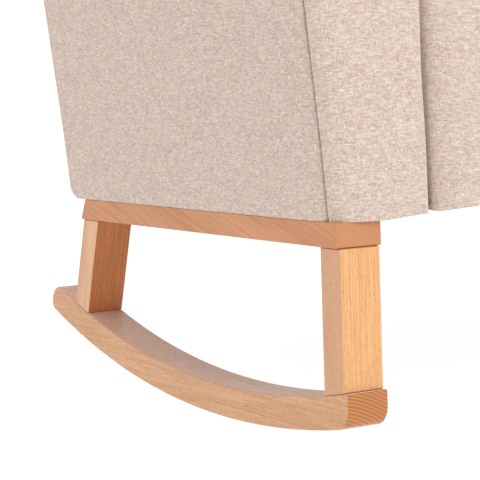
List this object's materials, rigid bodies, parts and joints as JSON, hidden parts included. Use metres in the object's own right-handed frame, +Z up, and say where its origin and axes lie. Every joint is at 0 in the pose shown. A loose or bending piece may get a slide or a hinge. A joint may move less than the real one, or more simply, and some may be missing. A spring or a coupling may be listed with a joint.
{
  "type": "rocking chair",
  "caption": "Upholstered armchair with winged back on two curved beech rocker frames, each with a rail, two legs and a runner.",
  "frame": {"origin": "floor point under the centre of the chair's bounding box, chair at rest on its runners", "axes": "+Z up, -Y is the way the chair faces, +X to the sitter's left"},
  "size_m": [0.812, 0.7888, 0.9448],
  "materials": {
    "beech": "satin",
    "frame_wood": "matte",
    "upholstery": "matte",
    "lining": "matte",
    "steel": "satin"
  },
  "bodies": {
    "root": {"arm_board_left": "frame_wood", "arm_board_right": "frame_wood", "arm_pad_left": "upholstery", "arm_pad_right": "upholstery", "arm_post_left": "frame_wood", "arm_post_right": "frame_wood", "arm_rail_left": "frame_wood", "arm_rail_right": "frame_wood", "back_lumbar_rail": "frame_wood", "back_pad": "upholstery", "back_post_left": "frame_wood", "back_post_right": "frame_wood", "back_top_rail": "frame_wood", "back_webbing": "lining", "barrel_nuts": "steel", "bolt_washers": "steel", "corner_blocks": "frame_wood", "dust_cover": "lining", "front_leg_left": "beech", "front_leg_right": "beech", "leg_dowels": "beech", "leg_screws": "steel", "outer_back_panel": "upholstery", "rail_bolts": "steel", "rail_left": "beech", "rail_right": "beech", "rear_leg_left": "beech", "rear_leg_right": "beech", "rocker_left": "beech", "rocker_right": "beech", "seat_cross_rail": "frame_wood", "seat_front_rail": "frame_wood", "seat_pad": "upholstery", "seat_rear_rail": "frame_wood", "seat_side_rail_left": "frame_wood", "seat_side_rail_right": "frame_wood", "seat_springs": "steel", "side_panel_left": "upholstery", "side_panel_right": "upholstery", "spring_clips": "steel", "wing_frame_left": "frame_wood", "wing_frame_right": "frame_wood", "wing_pad_left": "upholstery", "wing_pad_right": "upholstery"}
  },
  "joints": []
}
